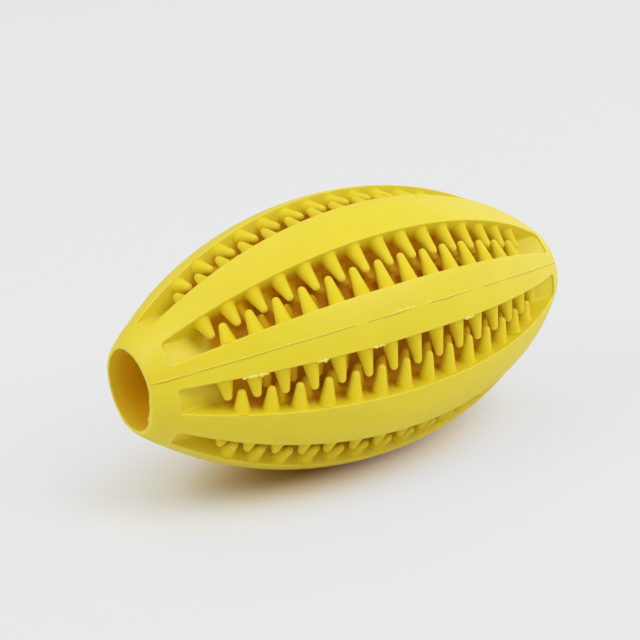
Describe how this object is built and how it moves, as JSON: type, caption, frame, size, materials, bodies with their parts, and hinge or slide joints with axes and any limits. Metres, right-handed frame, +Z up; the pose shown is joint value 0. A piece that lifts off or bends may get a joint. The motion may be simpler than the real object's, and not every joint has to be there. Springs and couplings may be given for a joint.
{
  "type": "dog dental chew toy",
  "caption": "Hollow rubber dog toy shaped like a rugby ball, open at both ends, with deep lengthwise grooves whose facing walls carry interlocking tooth-cleaning cones.",
  "frame": {"origin": "on the floor under the middle of the toy, as it rests on its two lowest ribs", "axes": "+X along the toy from the mouth to the tail, +Z up"},
  "size_m": [0.128, 0.0686, 0.0686],
  "materials": {
    "body": "satin",
    "teeth": "satin",
    "chamber": "matte"
  },
  "bodies": {
    "root": {"treat_chamber": "chamber", "mouth_collar": "body", "tail_collar": "body", "rib_1": "body", "rib_2": "body", "rib_3": "body", "rib_4": "body", "rib_5": "body", "rib_6": "body", "rib_7": "body", "rib_8": "body", "groove_1_long_comb": "teeth", "groove_2_long_comb": "teeth", "groove_3_long_comb": "teeth", "groove_4_long_comb": "teeth", "groove_5_long_comb": "teeth", "groove_6_long_comb": "teeth", "groove_7_long_comb": "teeth", "groove_8_long_comb": "teeth", "groove_1_short_comb": "teeth", "groove_2_short_comb": "teeth", "groove_3_short_comb": "teeth", "groove_4_short_comb": "teeth", "groove_5_short_comb": "teeth", "groove_6_short_comb": "teeth", "groove_7_short_comb": "teeth", "groove_8_short_comb": "teeth"}
  },
  "joints": []
}
